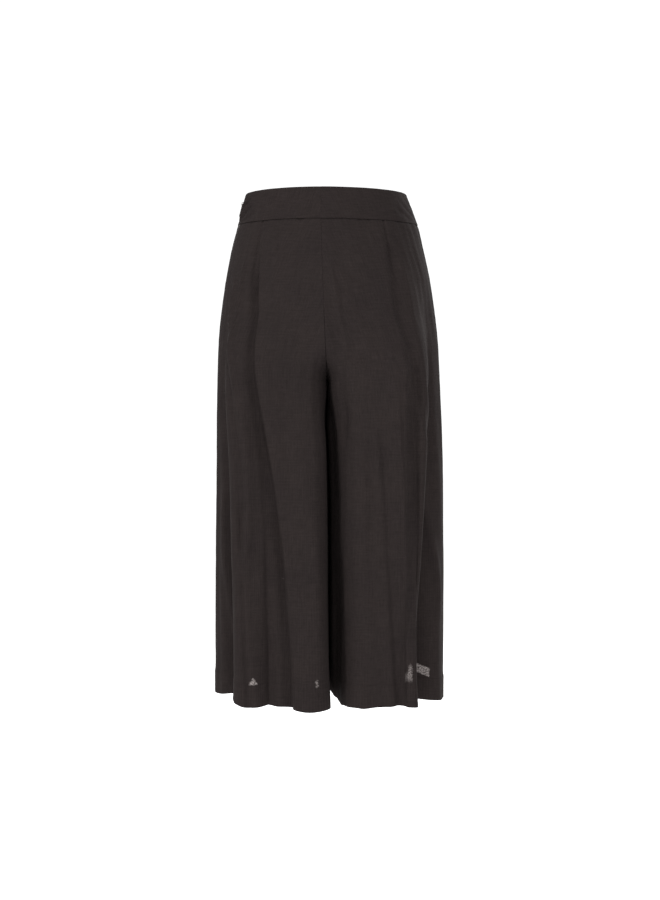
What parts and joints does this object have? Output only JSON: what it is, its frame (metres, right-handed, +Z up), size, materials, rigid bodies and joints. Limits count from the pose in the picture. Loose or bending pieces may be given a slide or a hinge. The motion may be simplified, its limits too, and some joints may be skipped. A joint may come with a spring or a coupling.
{
  "type": "wide-leg cropped trousers",
  "caption": "Wide-leg cropped trousers in thin dark crepe, with a plain waistband, side zip and turned-up hems, held in the hollow form they have when worn.",
  "frame": {"origin": "centre of the waistband's ring, at the band's mid-height, where the wearer's waist holds the trousers", "axes": "+Z up along the length, front faces -Y, so the wearer's left is +X"},
  "size_m": [0.3791, 0.3073, 0.8423],
  "materials": {
    "cloth": "thin matt crepe, brown-black",
    "zip_tape": "woven polyester tape, black",
    "zip_metal": "dark plated zip metal"
  },
  "bodies": {
    "trousers": {"back_left_leg": "cloth", "back_right_leg": "cloth", "front_left_leg": "cloth", "front_right_leg": "cloth", "waistband_back": "cloth", "waistband_front": "cloth", "zip_tape": "zip_tape", "zip_slider": "zip_metal"},
    "pull": {"zip_pull": "zip_metal"}
  },
  "joints": [
    {"name": "pull_swing", "type": "hinge", "parent": "trousers", "child": "pull", "pos_m": [0.13919, 0, 0.01144], "axis": [0, -1, 0], "range_deg": [0, 170]}
  ]
}
